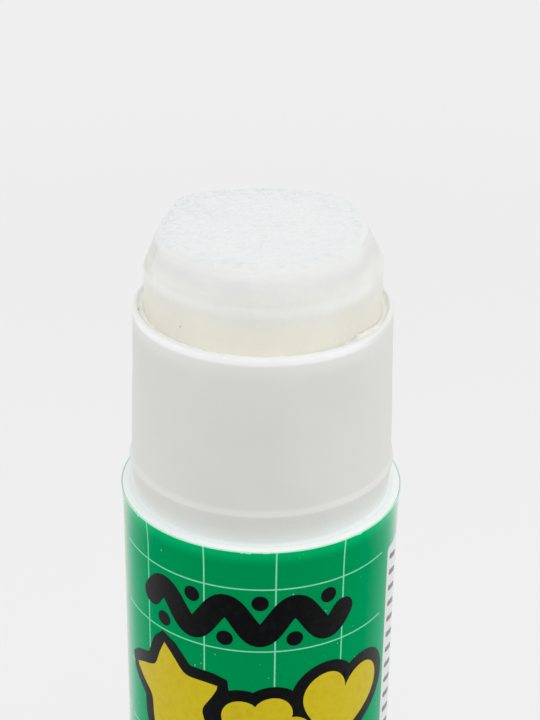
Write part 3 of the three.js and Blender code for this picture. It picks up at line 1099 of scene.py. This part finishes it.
@dataclass
class GlueBlock:
    """The glue: a smooth waxy side, a rubbed and crinkled top, and a sheared corner at the left."""

    top: float = top_of("glue_block")
    foot: float = foot_of("glue_block")
    radius: float = radius_of("glue_block")
    lip: float = top_of("inner_tube")
    foot_radius: float = 11.05
    foot_height: float = 7.0
    bore: float = 4.3
    bore_depth: float = 10.4
    bore_bevel: float = 1.6
    crown: float = 0.3
    crown_dip: float = 0.08
    step_width: float = 2.1
    step_height: float = 3.7
    shaped_below: float = 3.0
    ridge_below: float = 4.15
    shear_azimuth: float = -101.5
    shear_reach: float = 10.3
    slope_azimuth: float = 94.0
    slope_height: float = 3.75
    groove_azimuth: float = -70.0
    skin_radius: float = 10.3
    proud: float = 0.07
    crease: tuple[complex, ...] = (0.4 - 1.2j, 0.1 - 2.8j, -0.9 - 7.1j, -2.7 - 10.3j)
    worn_step: tuple[Point, ...] = (
        (0, -3.7), (-0.03, -3.35), (-0.13, -3.0), (-0.32, -2.65), (-0.57, -2.3), (-0.8, -1.95), (-0.98, -1.6),
        (-1.11, -1.25), (-1.23, -0.9), (-1.37, -0.58), (-1.58, -0.3), (-1.85, -0.12), (-2.1, -0.03),
    )
    rings: int = 110
    steps: int = 600

    @property
    def edge(self) -> float:
        """The height of the rubbed face at its edge."""
        return self.top - self.crown

    @property
    def face_radius(self) -> float:
        """The radius at which the rubbed face ends and the worn step begins."""
        return self.radius - self.step_width

    def outline(self) -> Outline:
        """Draws the block's outline, fine where it shows.

        Returns:
            The (radius, z) corners from the bore's foot round the outside to the bore's top.
        """
        shaft, fine = self.foot + self.foot_height, self.lip - self.shaped_below
        heights = rising(shaft, fine, 4) + rising(fine, self.edge + self.worn_step[0][1] - 0.05, 0.12)
        corners = [(self.radius + r, self.edge + z) for r, z in self.worn_step]
        edge: Outline = []
        for (r0, z0), (r1, z1) in zip(corners, corners[1:]):
            edge += list(zip(evenly(r0, r1, 4), evenly(z0, z1, 4)))[:-1]
        face = [(self.face_radius * (1 - k / self.rings) ** 0.9, self.edge) for k in range(self.rings)]
        bore_top = self.top - self.bore_depth
        return [
            (self.bore, self.foot),
            (self.foot_radius, self.foot),
            (self.foot_radius, shaft),
            *((self.radius, z) for z in heights),
            *edge,
            *face,
            (0, self.edge + self.crown / 2 - self.crown_dip),
            (0, bore_top),
            (self.bore - self.bore_bevel, bore_top),
            (self.bore, bore_top - self.bore_bevel),
        ]

    def folds(self, x: float, y: float) -> float:
        """The rubbed top's sharp little folds, mostly across the stick.

        Args:
            x: the place across the stick.
            y: the place from front to back.

        Returns:
            1 on a crest, -1 in a crease.
        """
        wx = x + 0.8 * grain(x / 2.6, y / 2.6, 3.1)
        wy = y + 0.7 * grain(x / 2.6, y / 2.6, 7.7)
        coarse = 0.32 - abs(grain(wx / 1.25, wy / 0.52, 0.4)) * 1.9
        fine = 0.3 - abs(grain(wx / 0.6, wy / 0.3, 5.2)) * 1.8
        strength = 0.7 + 0.4 * smooth(y - x, -4, 12)
        return max(-1.0, min(1.0, strength * (coarse + 0.7 * fine)))

    def off_crease(self, place: complex) -> float:
        """How far a place lies from the long crease.

        Args:
            place: x and y as one number.

        Returns:
            The distance to the nearest of the crease's stretches.
        """
        away: list[float] = []
        for a, b in zip(self.crease, self.crease[1:]):
            share = max(0.0, min(1.0, ((place - a) / (b - a)).real))
            away.append(abs(place - a - share * (b - a)))
        return min(away)

    def crinkles(self, x: float, y: float) -> float:
        """The relief of the rubbed top: its folds, low hills and one long crease.

        Args:
            x: the place across the stick.
            y: the place from front to back.

        Returns:
            The height from the plain top.
        """
        hills = 0.05 * grain(x / 4.5, y / 4.5, 9.3)
        crease = self.off_crease(complex(x + 0.5 * grain(x / 1.6, y / 1.6, 12.0), y))
        return 0.13 * self.folds(x, y) + hills - 0.09 * smooth(crease, 0.4, 0.0) - 0.08

    def wear(self, azimuth: float) -> float:
        """How much of the worn step there is at an angle; the back corners are less worn."""
        return 0.98 - 0.55 * hill(abs(azimuth), 134, 17)

    def worn_face(self, azimuth: float) -> float:
        """The radius of the rubbed face at an angle."""
        return self.radius - self.step_width * self.wear(azimuth)

    def bare(self, azimuth: float) -> float:
        """How much further in the crinkled skin ends, at the right, where the edge is rubbed smooth."""
        return 0.6 * hill(azimuth, 98, 42)

    def skin(self, azimuth: float) -> Point:
        """Finds where the crinkled skin ends.

        Args:
            azimuth: the angle round the stick.

        Returns:
            The plain radius of its edge, and how torn the edge is, 0 to 1.
        """
        uneven = 0.3 * grain(azimuth / 7, 1.7, 0) + 0.16 * grain(azimuth / 1.7, 4.1, 0)
        torn = smooth(grain(azimuth / 6, 6.6, 0), -0.1, 0.3)
        return self.skin_radius - 0.4 - self.bare(azimuth) + uneven, torn

    def worn_radius(self, azimuth: float, r: float, z: float) -> float:
        """The radius of the worn block.

        Args:
            azimuth: the angle round the stick.
            r: the plain radius.
            z: the plain height.

        Returns:
            The radius once the edge is worn, sheared off at the left and sloped at the right.
        """
        down = self.edge - z
        on_step = r > self.face_radius
        if on_step:
            radius = self.radius - (self.radius - r) * self.wear(azimuth)
        else:
            radius = r * self.worn_face(azimuth) / self.face_radius
        radius += 0.07 * grain(azimuth / 17, z / 1.3, 0.6) * smooth(down, 0.0, 0.5) * smooth(down, 4.4, 3.2)
        away = (azimuth - self.shear_azimuth + 180) % 360 - 180
        if abs(away) < 46 and down < 3.9:
            cut = (self.shear_reach + 0.33 * down) / math.cos(math.radians(away))
            radius = min(radius, cut + 0.05 * grain(azimuth / 3, z / 0.5, 2.2))
        if on_step and down < self.step_height:
            hollow = 1 - math.sqrt(1 - (1 - down / self.step_height) ** 2)
            bulge = self.radius - self.step_width * hollow * self.wear(azimuth)
            radius += max(bulge - radius, 0.0) * smooth(abs(azimuth), 88, 55)
        if down < self.slope_height:
            slope = self.radius - 0.49 * (self.slope_height - down)
            radius += (slope - radius) * hill(azimuth, self.slope_azimuth, 30, 4) * smooth(down, 0.0, 0.4)
        groove = hill(azimuth, self.groove_azimuth, 3.2) * smooth(down, 0.6, 1.3) * smooth(down, 4.0, 2.6)
        return radius - 0.22 * groove

    def shape(self, azimuth: float, r: float, z: float) -> Point:
        """Bends the plain outline into the worn form.

        Args:
            azimuth: the angle round the stick.
            r: the plain radius.
            z: the plain height.

        Returns:
            The worn radius and height.
        """
        if z < self.lip - self.shaped_below:
            return r, z
        down = self.edge - z
        below = smooth(down, self.ridge_below, self.ridge_below + 0.5)
        below *= smooth(z, self.lip + 0.6, self.lip + 2)
        radius = self.worn_radius(azimuth, r, z) + 0.02 * hill(down, self.ridge_below, 0.5) - 0.01 * below
        radius += self.proud * smooth(z, self.lip + 1.0, self.lip - 0.2)
        x, y, _ = around(azimuth, radius, z) / MM
        on_top = smooth(r + self.bare(azimuth), self.skin_radius + 0.5, self.skin_radius - 0.1)
        dome = self.crown / 2 * (1 - min(r / self.face_radius, 1) ** 2)
        skin, torn = self.skin(azimuth)
        fall = (0.015 + 0.06 * torn) * smooth(r, skin - 0.04, skin + 0.04) * smooth(down, 1.2, 0.3)
        height = z + dome + on_top * self.crinkles(x, y) - fall
        return min(radius, self.radius + self.proud), min(height, self.top)

    def store_crease_shade(self, mesh: bpy.types.Mesh) -> None:
        """Stores painted shade for the glue's colour: how deep each point of the top lies in a fold's crease,
        and a painted shadow along the torn edge of the skin.

        Args:
            mesh: the finished block.
        """
        marks = mesh.attributes.new("crease_shade", "FLOAT", "POINT")
        for vert, mark in zip(mesh.vertices, marks.data):
            x, y, z = vert.co / MM
            if z > self.edge - 0.5:
                azimuth = math.degrees(math.atan2(x, -y))
                plain = math.hypot(x, y) * self.face_radius / self.worn_face(azimuth)
                skin, torn = self.skin(azimuth)
                edge = 1.3 * torn * smooth(abs(plain - skin - 0.05), 0.16, 0.05)
                inside = 1 - smooth(plain, skin + 0.3, skin + 0.7) * smooth(self.bare(azimuth), 0.1, 0.3)
                mark.value = max(edge, inside * smooth(self.folds(x, y), 0.35, -0.9))

    def build(self) -> Object:
        """Makes the block with its finish.

        Returns:
            The block.
        """
        piece = revolve("glue", self.outline(), self.steps, self.shape)
        self.store_crease_shade(piece.data)
        speck = Speck(-41.5, self.radius, self.lip + 1.3, 0.08)
        return dressed(piece, WaxyGlue("glue_wax", self.edge - self.ridge_below, self.edge, specks=(speck,)))


@dataclass
class Barrel:
    """The two walls and the film: the white tube with its neck, the pale sleeve and the print."""

    lip: float = top_of("inner_tube")
    rim: float = top_of("outer_sleeve")
    wall_foot: float = foot_of("outer_sleeve")
    film_foot: float = foot_of("label_film")
    film_top: float = top_of("label_film")
    bore: float = 12.4
    tube_radius: float = 13.6
    neck_foot: float = 13.96
    neck_top: float = 13.5
    lip_bevel: float = 0.7
    bead_radius: float = 14.18
    sleeve_radius: float = 14.85
    film_inner: float = 14.88
    film_radius: float = 15.0
    flare: float = 0.2
    flare_height: float = 3.6
    lap_azimuth: float = 153.5
    heap_azimuth: float = 52.0

    def spread(self, z: float) -> float:
        """How far the walls stand out near the rim at a height."""
        return self.flare * max(0.0, 1 - (self.rim - z) / self.flare_height) ** 2

    def tube(self) -> Object:
        """Makes the inner tube with its neck, snap bead and rounded lip.

        Returns:
            The tube.
        """
        rim, lip, root, bead = self.rim, self.lip, self.neck_foot, self.bead_radius
        corners = [
            (self.bore, self.wall_foot, 0.2),
            (self.tube_radius, self.wall_foot, 0.3),
            (self.tube_radius, rim - 0.6, 0),
            (root + 0.24, rim - 0.5, 0),
            (root + 0.24, rim + 0.006, 0),
            (root - 0.14, rim + 0.006, 0.36),
            (root - 0.06, rim + 1.4, 3),
            (root + 0.02, rim + 2.4, 2),
            (bead - 0.04, rim + 3.15, 0.5),
            (bead + 0.03, rim + 3.45, 0.5),
            (root - 0.03, rim + 4.1, 1.0),
            (root - 0.06, rim + 5.6, 0),
            (root - 0.16, rim + 10, 0),
            (root - 0.31, rim + 14, 0),
            (self.neck_top, lip, 0.4),
            (self.neck_top - 0.45, lip, 0.1),
            (self.bore, lip - self.lip_bevel, 0.1),
        ]

        def bend(azimuth: float, r: float, z: float) -> Point:
            """Adds the moulding's slight unevenness.

            Args:
                azimuth: the angle round the piece.
                r: the plain radius.
                z: the plain height.

            Returns:
                The radius and height to use.
            """
            angle = math.radians(azimuth)
            wave = grain(math.sin(angle) * 2, math.cos(angle) * 2, z / 9)
            worn = smooth(z, lip - 0.7, lip) * grain(azimuth / 5, 0.3, 8.8)
            return r + 0.02 * wave, z - 0.02 * abs(worn)

        # Painted light: the neck is painted lighter towards the lip and lighter still just below it, and
        # darker on the lip's top to dim its highlight; lighter at its left side and a touch lighter at its
        # right for side light; bluish white at the foot for light thrown up from the pale rim.
        tints = (
            Tint(srgb(226, 226, 222), lip - 2.8, lip - 1.0),
            Tint(srgb(248, 249, 248), lip - 1.05, lip - 0.6),
            Tint(srgb(220, 221, 220), lip - 0.38, lip - 0.02),
            Tint(srgb(221, 221, 217), 8.0, 14.0, Axis.ACROSS),
            Tint(srgb(224, 225, 222), -12.0, -15.0, Axis.ACROSS),
            Tint(srgb(232, 238, 236), rim + 2.1, rim - 0.3),
        )
        specks = (Speck(-80, 12.9, lip - 0.1, 0.2), Speck(-84, 12.75, lip - 0.3, 0.09))
        white, shade = srgb(220, 220, 216), srgb(217, 217, 213)
        finish = MouldedPlastic("tube_white", white, shade, glow=0.15, tints=tints, specks=specks)
        return dressed(revolve("neck_tube", rounded(corners), bend=bend), finish)

    def smear(self) -> Object:
        """Makes the smear of glue that the lip has scraped off, thickest at the right.

        Returns:
            The smear.
        """
        lip, bore, neck = self.lip, self.bore, self.neck_top
        low, high = lip - 1.2, lip - 0.32
        outline = [
            (bore - 0.06, low),
            (bore + 0.1, low),
            (neck - 0.32, lip - 0.1),
            (neck - 0.36, lip),
            (neck - 0.6, high + 0.12),
            (neck - 0.8, high),
            (bore + 0.02, high),
            (bore - 0.06, high - 0.08),
        ]

        def bend(azimuth: float, r: float, z: float) -> Point:
            """Heaps the smear up unevenly.

            Args:
                azimuth: the angle round the piece.
                r: the plain radius.
                z: the plain height.

            Returns:
                The radius and height to use.
            """
            heap = hill(azimuth, self.heap_azimuth, 11) * (0.5 + 0.9 * grain(azimuth / 2.3, r * 1.5, 0.4))
            heap += 0.12 * grain(azimuth / 5, 2.2, 0)
            heap *= smooth(r, neck - 0.3, neck - 0.55) * smooth(z, low, low + 0.3)
            return r, min(z + 0.8 * max(heap, -0.2), max(z, lip + 0.2))

        # Painted light: the smear is painted near white to offset the shade that the glue and lip throw on it
        # at the left, darker from the middle to the right, where its heap catches the light, and lighter
        # again at the far right.
        tints = (
            Tint(srgb(224, 225, 219), 2.0, 9.0, Axis.ACROSS),
            Tint(srgb(236, 237, 233), 11.0, 12.2, Axis.ACROSS),
        )
        white, shade = srgb(247, 247, 243), srgb(243, 244, 238)
        finish = MouldedPlastic("smeared_glue", white, shade, 0.45, 0.3, grain_depth=0.03, tints=tints)
        return dressed(revolve("glue_smear", outline, bend=bend), finish)

    def sleeve(self) -> Object:
        """Makes the outer sleeve, whose spread upper end is the pale rim.

        Returns:
            The sleeve.
        """
        inner = self.tube_radius - 0.05
        corners = [
            (inner, self.wall_foot, 0),
            (self.sleeve_radius, self.wall_foot, 0.1),
            *((self.sleeve_radius, z, 0) for z in evenly(self.rim - self.flare_height, self.rim, 8)[:-1]),
            (self.sleeve_radius, self.rim, 0.1),
            (inner, self.rim, 0),
        ]

        def bend(azimuth: float, r: float, z: float) -> Point:
            """Spreads the upper end and wavers its cut a little.

            Args:
                azimuth: the angle round the piece.
                r: the plain radius.
                z: the plain height.

            Returns:
                The radius and height to use.
            """
            cut = smooth(z, self.rim - 0.9, self.rim) * smooth(r, self.neck_foot + 0.25, self.neck_foot + 0.6)
            out = self.spread(z) * smooth(r, self.tube_radius + 0.5, self.sleeve_radius)
            return r + out, z - cut * 0.04 * (1 + grain(azimuth / 14, 5.5, 0.2))

        white, shade = srgb(234, 239, 238), srgb(231, 237, 236)
        finish = MouldedPlastic("sleeve_pale", white, shade, 0.42, 0.15, grain_size=0.6, grain_depth=0.008)
        return dressed(revolve("sleeve_wall", rounded(corners), bend=bend), finish)

    def film(self) -> Object:
        """Makes the printed film, with its frayed upper edge and the lap where its ends meet.

        Returns:
            The film.
        """
        heights = [self.film_foot, *evenly(self.rim - self.flare_height, self.film_top, 12)]
        outline = [(self.film_radius, z) for z in heights] + [(self.film_inner, z) for z in heights[::-1]]

        def bend(azimuth: float, r: float, z: float) -> Point:
            """Spreads and frays the upper edge and raises the lap.

            Args:
                azimuth: the angle round the piece.
                r: the plain radius.
                z: the plain height.

            Returns:
                The radius and height to use.
            """
            edge = smooth(z, self.film_top - 0.4, self.film_top)
            fray = 0.006 * grain(azimuth / 1.1, 0.9, 0) + 0.012 * grain(azimuth / 7, 3.3, 0)
            nick = 0.13 * smooth(grain(azimuth / 1.3, 11.0, 0), 0.58, 0.75)
            lap = 0.045 * smooth(abs(azimuth - self.lap_azimuth), 2.3, 2.1) * (r > self.film_inner + 0.06)
            return r + lap * (1 - edge) + self.spread(z), z + edge * (fray - nick)

        panels = (
            GridPanel(first=-69.5, last=59.7, line=6.38),
            GridPanel(first=157.0, last=284.0, line=180.4, full_turn=True),
        )
        finish = GreenFilm("film_green", self.film_radius, self.rim, self.film_top, panels)
        return dressed(revolve("green_film", outline, ROUND_STEPS * 3, bend), finish)


@dataclass
class Foot:
    """The ribbed knob and the collar above it."""

    knob_height: float = 9.7
    bevel: float = 0.6
    rib_root: float = 14.25
    rib_depth: float = 0.45
    rib_count: int = 40
    rib_margin: float = 0.75
    wall: float = 1.3
    floor: float = 1.5
    ring_radius: float = 10.4
    ring_width: float = 1.2
    ring_depth: float = 0.4
    snap_radius: float = 8.6
    snap_wall: float = 1.3
    snap_z: float = 12.5
    snap_hook: float = 1.0
    snap_top: float = top_of("dial_knob")
    collar_z: float = foot_of("base_collar")
    collar_top: float = top_of("base_collar")
    collar_radius: float = radius_of("base_collar")
    collar_gap: float = 0.3
    collar_flange: float = 1.4
    collar_floor: float = 2.2
    spigot: float = 12.1
    spigot_wall: float = 1.2

    def knob(self) -> Object:
        """Makes the knob with its rounded ribs, the ring pressed into its foot, and its snap ring.

        Returns:
            The knob.
        """
        h, hook = self.knob_height, self.snap_radius + self.snap_hook
        ring_in, ring_out = self.ring_radius - self.ring_width / 2, self.ring_radius + self.ring_width / 2
        wall, snap_bore = self.rib_root - self.wall, self.snap_radius - self.snap_wall
        corners = [
            (0, 0, 0),
            (ring_in, 0, 0.15),
            (ring_in, self.ring_depth, 0.15),
            (ring_out, self.ring_depth, 0.15),
            (ring_out, 0, 0.15),
            (self.rib_root, 0, self.bevel),
            *((self.rib_root, z, 0) for z in evenly(self.rib_margin, h - self.bevel, 22)),
            (self.rib_root, h, 0.45),
            (wall, h, 0.3),
            (wall, self.floor, 0.4),
            (self.snap_radius, self.floor, 0.3),
            (self.snap_radius, self.snap_z, 0.05),
            (hook, self.snap_z, 0.15),
            (hook, self.snap_z + 0.7, 0.3),
            (self.snap_radius - 0.43, self.snap_top, 0.2),
            (snap_bore, self.snap_top, 0.2),
            (snap_bore, self.floor, 0.3),
            (0, self.floor, 0),
        ]

        def bend(azimuth: float, r: float, z: float) -> Point:
            """Raises the ribs.

            Args:
                azimuth: the angle round the piece.
                r: the plain radius.
                z: the plain height.

            Returns:
                The radius and height to use.
            """
            if r < self.rib_root - 0.05:
                return r, z
            ends = between(z, self.rib_margin, h - self.rib_margin, self.rib_margin)
            return r + self.rib_depth * smooth(off_rib(azimuth, self.rib_count), 0.72, 0.3) * ends, z

        return dressed(revolve("knob", rounded(corners), self.rib_count * 20, bend), KNOB_WHITE)

    def collar(self) -> Object:
        """Makes the collar ring between the knob and the walls.

        Returns:
            The ring.
        """
        z, hole, inside = self.collar_z, self.snap_radius + self.collar_gap, self.spigot - self.spigot_wall
        corners = [
            (hole, z, 0.1),
            (self.collar_radius, z, 0.25),
            (self.collar_radius, z + self.collar_flange, 0.2),
            (self.spigot, z + self.collar_flange, 0.1),
            (self.spigot, self.collar_top, 0.2),
            (inside, self.collar_top, 0.2),
            (inside, z + self.collar_floor, 0.3),
            (hole, z + self.collar_floor, 0.1),
        ]
        return dressed(revolve("collar_ring", rounded(corners)), KNOB_WHITE)


@dataclass
class Cap:
    """The cap, standing on its mouth beside the stick."""

    centre_x: float = (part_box("cap")[0].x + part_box("cap")[1].x) / 2 / MM
    height: float = top_of("cap")
    radius: float = radius_of("cap")
    mouth: float = 14.18
    draft: float = 0.4
    roof: float = 22.6
    dimple: float = 0.12
    seal: float = 12.2
    seal_wall: float = 0.8
    seal_depth: float = 2.6
    flute_count: int = 60
    flute_depth: float = 0.14
    flute_foot: float = 4.2
    flute_head: float = 17.0

    def build(self) -> Object:
        """Makes the cap with its grip flutes, sealing ring, bead groove and catch ridge.

        Returns:
            The cap.
        """
        seal_foot, dimple_z = self.roof - self.seal_depth, self.height - self.dimple
        rows = evenly(1.2, self.height - 3.0, 40)
        side = [(self.radius - self.draft * z / self.height, z, 0) for z in rows]
        corners = [
            (self.mouth, 0, 0.12),
            (self.radius, 0, 0.25),
            *side,
            (self.radius - self.draft, self.height, 1.8),
            (3.0, self.height, 0),
            (2.6, dimple_z, 0.05),
            (0, dimple_z, 0),
            (0, self.roof, 0),
            (self.seal - self.seal_wall, self.roof, 0.2),
            (self.seal - self.seal_wall, seal_foot, 0.2),
            (self.seal, seal_foot, 0.3),
            (self.seal, self.roof, 0.2),
            (self.mouth - self.draft, self.roof, 0.4),
            (self.mouth, 5.1, 0.3),
            (self.mouth + 0.21, 4.0, 0.3),
            (self.mouth - 0.14, 2.4, 0.3),
            (self.mouth, 1.2, 0.3),
        ]

        def bend(azimuth: float, r: float, z: float) -> Point:
            """Sinks the grip flutes.

            Args:
                azimuth: the angle round the piece.
                r: the plain radius.
                z: the plain height.

            Returns:
                The radius and height to use.
            """
            if r < self.radius - self.draft - 0.05:
                return r, z
            sunk = self.flute_depth * between(z, self.flute_foot, self.flute_head, 0.8)
            return r - sunk * (1 - off_rib(azimuth, self.flute_count) ** 2), z

        piece = revolve("cap_shell", rounded(corners), self.flute_count * 12, bend, self.centre_x)
        return dressed(piece, replace(KNOB_WHITE, name="cap_white", roughness=0.44))


@dataclass
class Studio:
    """The pale floor, the soft light and the camera at the fitted place."""

    rim: float = top_of("outer_sleeve")
    focal: float = 88.376
    sensor: float = 36.0
    camera_back: float = 166.118
    camera_rise: float = 97.587
    pale: Colour = srgb(239, 239, 239)
    floor_colour: Colour = srgb(230, 230, 230)
    floor_size: float = 6.0
    floor_drop: float = 0.00005
    world_level: float = 0.7
    top_watts: float = 2.62
    side_watts: float = 0.56

    def camera(self) -> None:
        """Places the camera as fitted to the rims of the sleeve and the lip."""
        data = bpy.data.cameras.new("camera")
        data.lens = self.focal
        data.sensor_width = self.sensor
        data.clip_start, data.clip_end = 0.01, 50
        camera = placed("camera", data)
        right = Vector((0.9999216, 0.00149815, 0.01243162))
        up = Vector((-0.01178105, 0.44892063, 0.89349397))
        turn = Matrix((right, up, right.cross(up))).transposed().to_4x4()
        place = Vector((0, -self.camera_back, self.rim + self.camera_rise)) * MM
        camera.matrix_world = Matrix.Translation(place) @ turn
        bpy.context.scene.camera = camera

    def world(self) -> None:
        """Lights the scene evenly and shows a pale background."""
        world = bpy.data.worlds.new("studio")
        world.use_nodes = True
        bpy.context.scene.world = world
        tree = NodeTree(world.node_tree)
        light = tree.nodes["Background"]
        tree.plug((1, 1, 1, 1), light.inputs["Color"])
        tree.plug(self.world_level, light.inputs["Strength"])
        shown = tree.add("ShaderNodeBackground", {"Color": self.pale, "Strength": 1})
        tree.blend(tree.seen(), light, shown, "World Output")

    def floor(self) -> None:
        """Lays the floor: it takes the stick's shadow nearby and fades into the background far away."""
        size = self.floor_size
        corners = [(-size, -size), (size, -size), (size, size), (-size, size)]
        spots = [Vector((*corner, -self.floor_drop)) for corner in corners]
        plane = new_piece("floor", spots, [(0, 1, 2, 3)])
        s = Surface("floor_pale")
        s.shade(Base_Color=self.floor_colour, Roughness=0.9, Specular_IOR_Level=0.1)
        glow = s.add("ShaderNodeEmission", {"Color": self.pale})
        far = s.ramp(s.away_from((0, 0, 0)), 120, 450) * 0.55 + 0.45
        s.blend(far * s.seen(), s.shader, glow, "Material Output")
        plane.data.materials.append(s.material)

    def lamp(self, name: str, place: Corner, size: float, watts: float) -> None:
        """Hangs a square lamp that faces the stick.

        Args:
            name: the lamp's name.
            place: where it hangs, in metres.
            size: its width in metres.
            watts: its power.
        """
        data = bpy.data.lights.new(name, "AREA")
        data.shape = "SQUARE"
        data.size = size
        data.energy = watts
        lamp = placed(name, data)
        lamp.location = place
        aim = Vector((0, 0, 0.06)) - Vector(place)
        lamp.rotation_mode = "QUATERNION"
        lamp.rotation_quaternion = aim.to_track_quat("-Z", "Y")

    def build(self) -> None:
        """Sets up everything round the stick."""
        bpy.context.scene.view_settings.view_transform = "Standard"
        self.camera()
        self.world()
        self.floor()
        self.lamp("top_lamp", (0.06, -0.13, 0.79), 0.6, self.top_watts)
        self.lamp("right_lamp", (0.62, -0.04, 0.3), 0.35, self.side_watts)
        self.lamp("left_lamp", (-0.6, 0.02, 0.3), 0.35, self.side_watts)


def settle(piece: Object, body: str, slot: str, *nodes: str) -> None:
    """Joins a piece to the frame and reports it.

    Args:
        piece: the piece.
        body: the body that it rides on.
        slot: not used.
        nodes: the frame nodes that it stands for.
    """
    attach(piece, body)
    if nodes:
        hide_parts(*nodes)
    log.info("%s rides on %s: %d faces", piece.name, body, len(piece.data.polygons))


def main() -> None:
    """Builds the studio and every piece, in order from the outside in."""
    logging.basicConfig(level=logging.INFO, format="%(message)s", stream=sys.stdout)
    Studio().build()
    barrel = Barrel()
    settle(barrel.tube(), "tube", "tube_plastic", "inner_tube")
    settle(barrel.smear(), "tube", "glue")
    settle(barrel.sleeve(), "tube", "sleeve_plastic", "outer_sleeve")
    settle(barrel.film(), "tube", "printed_film", "label_film")
    for ink in PrintedShapes(barrel.film_radius, barrel.rim).build():
        settle(ink, "tube", "printed_film")
    settle(GlueBlock().build(), "carrier", "glue", "glue_block")
    foot = Foot()
    settle(foot.knob(), "dial", "knob_plastic", "dial_knob")
    settle(foot.collar(), "tube", "tube_plastic", "base_collar")
    settle(Cap().build(), "cap", "cap_plastic", "cap")
    for node in ("screw_spindle", "carrier_cup"):
        dressed(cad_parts[node], KNOB_WHITE)
        log.info("%s keeps its own shape", node)


if __name__ == "__main__":
    main()
